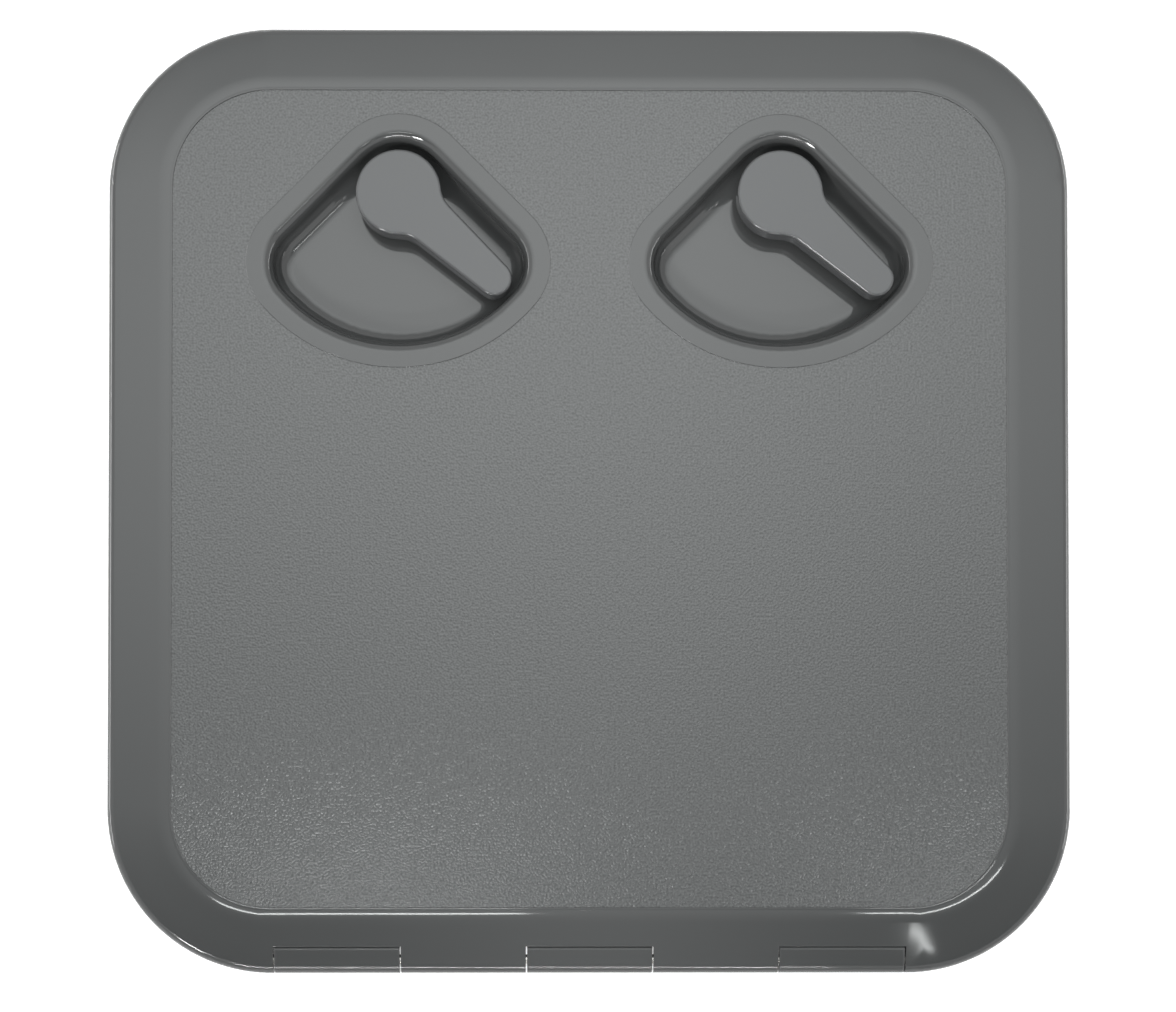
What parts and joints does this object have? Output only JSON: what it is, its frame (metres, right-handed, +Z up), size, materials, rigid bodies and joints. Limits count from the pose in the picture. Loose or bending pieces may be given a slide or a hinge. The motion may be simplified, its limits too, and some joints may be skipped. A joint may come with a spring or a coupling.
{
  "type": "square access hatch",
  "caption": "Square boat deck hatch: moulded lid on hinge knuckles over a flanged frame, with quarter-turn latches in fan-shaped pockets.",
  "frame": {"origin": "under the middle of the lid, at the bottom of the coaming", "axes": "+X along the hinge line, +Y from the hinge to the latches, +Z up out of the deck"},
  "size_m": [0.3766, 0.37, 0.0352],
  "materials": {
    "lid_moulding": "grey moulded ABS, glossy rim and pockets, fine anti-slip texture on the panel",
    "frame_moulding": "grey moulded ABS, semi-gloss",
    "handle_moulding": "grey moulded nylon, satin gloss",
    "seal_rubber": "black rubber, matt",
    "stainless": "plain stainless steel",
    "cam_nylon": "black glass-filled nylon"
  },
  "bodies": {
    "frame": {"deck_frame": "frame_moulding", "left_hinge_pin": "stainless", "middle_hinge_pin": "stainless", "right_hinge_pin": "stainless"},
    "lid": {"lid": "lid_moulding", "lid_seal": "seal_rubber"},
    "left_latch": {"left_handle": "handle_moulding", "left_shaft_seal": "seal_rubber", "left_latch_cam": "cam_nylon", "left_cam_washer": "stainless", "left_cam_screw": "stainless"},
    "right_latch": {"right_handle": "handle_moulding", "right_shaft_seal": "seal_rubber", "right_latch_cam": "cam_nylon", "right_cam_washer": "stainless", "right_cam_screw": "stainless"}
  },
  "joints": [
    {"name": "lid_hinge", "type": "hinge", "parent": "frame", "child": "lid", "pos_m": [0, -0.1798, 0.0282], "axis": [1, 0, 0], "range_deg": [0, 170]},
    {"name": "left_handle_turn", "type": "hinge", "parent": "lid", "child": "left_latch", "pos_m": [-0.07445, 0.1193, 0.022], "axis": [0, 0, -1], "range_deg": [0, 90]},
    {"name": "right_handle_turn", "type": "hinge", "parent": "lid", "child": "right_latch", "pos_m": [0.07445, 0.1193, 0.022], "axis": [0, 0, -1], "range_deg": [0, 90]}
  ]
}
